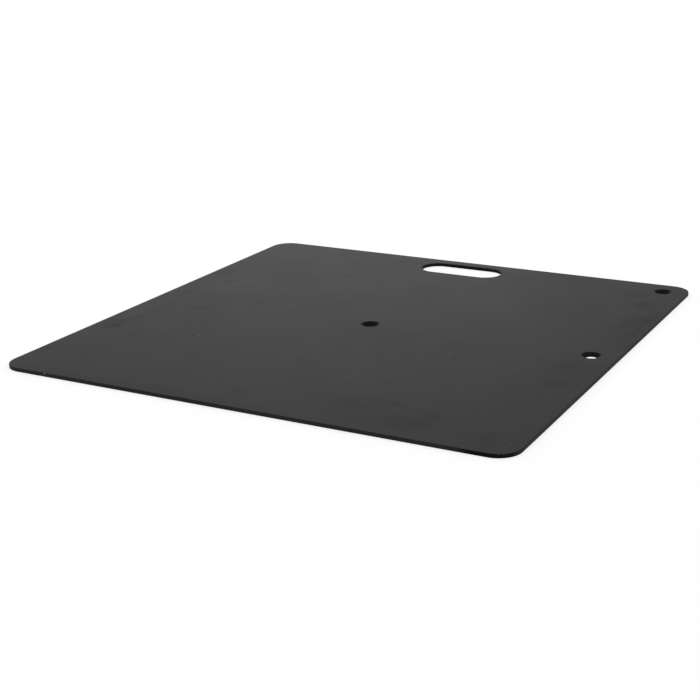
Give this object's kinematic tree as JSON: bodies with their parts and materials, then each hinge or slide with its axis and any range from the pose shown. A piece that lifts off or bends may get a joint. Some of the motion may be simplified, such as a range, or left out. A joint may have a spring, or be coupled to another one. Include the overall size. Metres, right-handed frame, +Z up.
{
  "type": "pipe and drape base plate",
  "caption": "Flat square steel floor plate with rounded corners, a round-ended hand slot beside one edge and through countersinks for a screwed-on upright.",
  "frame": {"origin": "middle of the face that the plate lies on in the picture, which is the face opposite the countersinks", "axes": "+Z up through the thickness, out of the countersunk face; +Y towards the edge beside the hand slot; +X towards the edge with the side hole and the corner hole"},
  "size_m": [0.6, 0.6, 0.0042],
  "materials": {
    "powder_coat": "fine-textured, semi-matt dark grey powder coat"
  },
  "bodies": {
    "root": {"base_plate": "powder_coat"}
  },
  "joints": []
}
